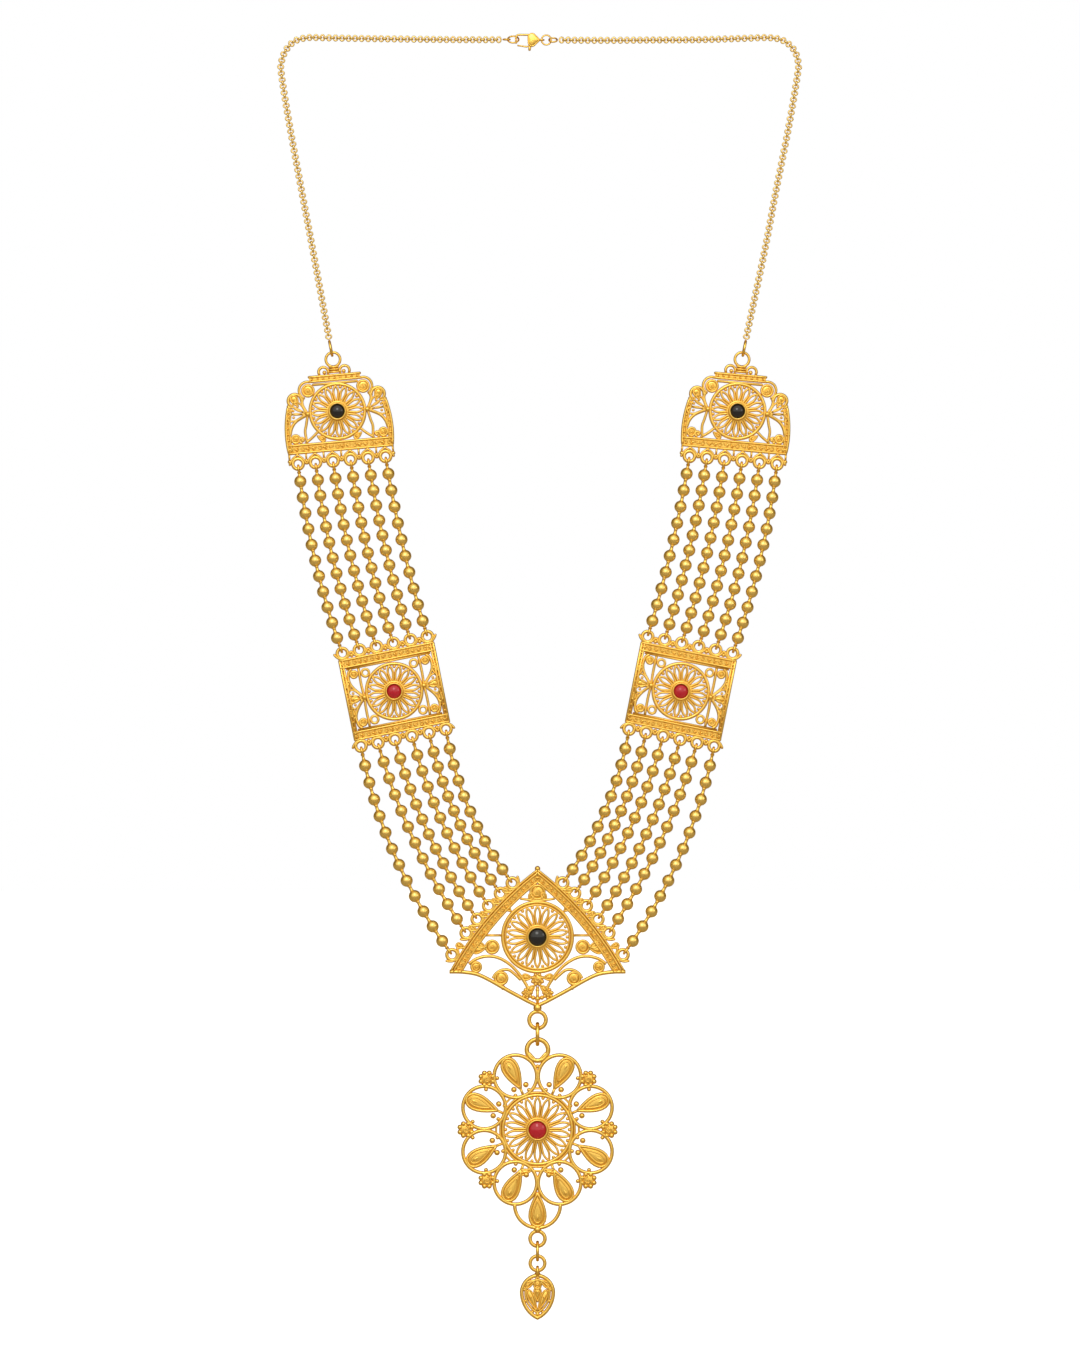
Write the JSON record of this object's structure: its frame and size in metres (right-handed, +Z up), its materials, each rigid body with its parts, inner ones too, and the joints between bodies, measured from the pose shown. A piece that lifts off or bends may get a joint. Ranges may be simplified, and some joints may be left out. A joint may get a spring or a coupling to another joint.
{
  "type": "long filigree necklace",
  "caption": "Long gold filigree necklace: a neck chain, strings of beads between pierced plaques set with stones, and a round medallion with a leaf drop.",
  "frame": {"origin": "middle of the clasp at the top of the loop, where the necklace hangs or rests on the neck", "axes": "+Z up, +X to the wearer's left (the viewer's right), the front of the plaques faces -Y"},
  "size_m": [0.1568, 0.0072, 0.386],
  "materials": {
    "gold": "polished yellow gold wire and sheet, soft satin in the recesses",
    "chain_gold": "polished yellow gold chain",
    "bead_gold": "mirror polished hollow gold beads",
    "black_stone": "opaque black cabochon, polished",
    "red_stone": "deep red cabochon, polished"
  },
  "bodies": {
    "root": {"clasp_body": "gold", "clasp_left_ring": "gold", "clasp_right_ring": "gold", "left_clasp_link": "gold", "right_clasp_link": "gold", "left_hanger_link": "gold", "right_hanger_link": "gold", "left_top_plaque": "gold", "right_top_plaque": "gold", "left_mid_plaque": "gold", "right_mid_plaque": "gold", "centre_plaque": "gold", "left_upper_end_links": "gold", "right_upper_end_links": "gold", "left_lower_threads": "gold", "right_lower_threads": "gold", "left_chain": "chain_gold", "right_chain": "chain_gold", "left_upper_string_1": "bead_gold", "left_upper_string_2": "bead_gold", "left_upper_string_3": "bead_gold", "left_upper_string_4": "bead_gold", "left_upper_string_5": "bead_gold", "left_upper_string_6": "bead_gold", "right_upper_string_1": "bead_gold", "right_upper_string_2": "bead_gold", "right_upper_string_3": "bead_gold", "right_upper_string_4": "bead_gold", "right_upper_string_5": "bead_gold", "right_upper_string_6": "bead_gold", "left_lower_string_1": "bead_gold", "left_lower_string_2": "bead_gold", "left_lower_string_3": "bead_gold", "left_lower_string_4": "bead_gold", "left_lower_string_5": "bead_gold", "left_lower_string_6": "bead_gold", "right_lower_string_1": "bead_gold", "right_lower_string_2": "bead_gold", "right_lower_string_3": "bead_gold", "right_lower_string_4": "bead_gold", "right_lower_string_5": "bead_gold", "right_lower_string_6": "bead_gold", "left_top_stone": "black_stone", "right_top_stone": "black_stone", "centre_stone": "black_stone", "left_mid_stone": "red_stone", "right_mid_stone": "red_stone"},
    "clasp_lever": {"clasp_lever": "gold"},
    "pendant_link": {"pendant_link": "gold"},
    "medallion": {"medallion": "gold", "medallion_stone": "red_stone", "drop_link": "gold", "drop_ring": "gold", "leaf_drop": "gold"}
  },
  "joints": [
    {"name": "clasp_lever_hinge", "type": "hinge", "parent": "root", "child": "clasp_lever", "pos_m": [-0.0017, 0, -0.00135], "axis": [0, 1, 0], "range_deg": [0, 15], "stiffness_Nm_per_rad": 0.000002, "springref_deg": -20.05},
    {"name": "pendant_swing", "type": "hinge", "parent": "root", "child": "pendant_link", "pos_m": [0, 0, -0.29652], "axis": [1, 0, 0], "range_deg": [-60, 60]},
    {"name": "medallion_sway", "type": "hinge", "parent": "pendant_link", "child": "medallion", "pos_m": [0, 0, -0.30127], "axis": [0, 1, 0], "range_deg": [-35, 35]}
  ]
}
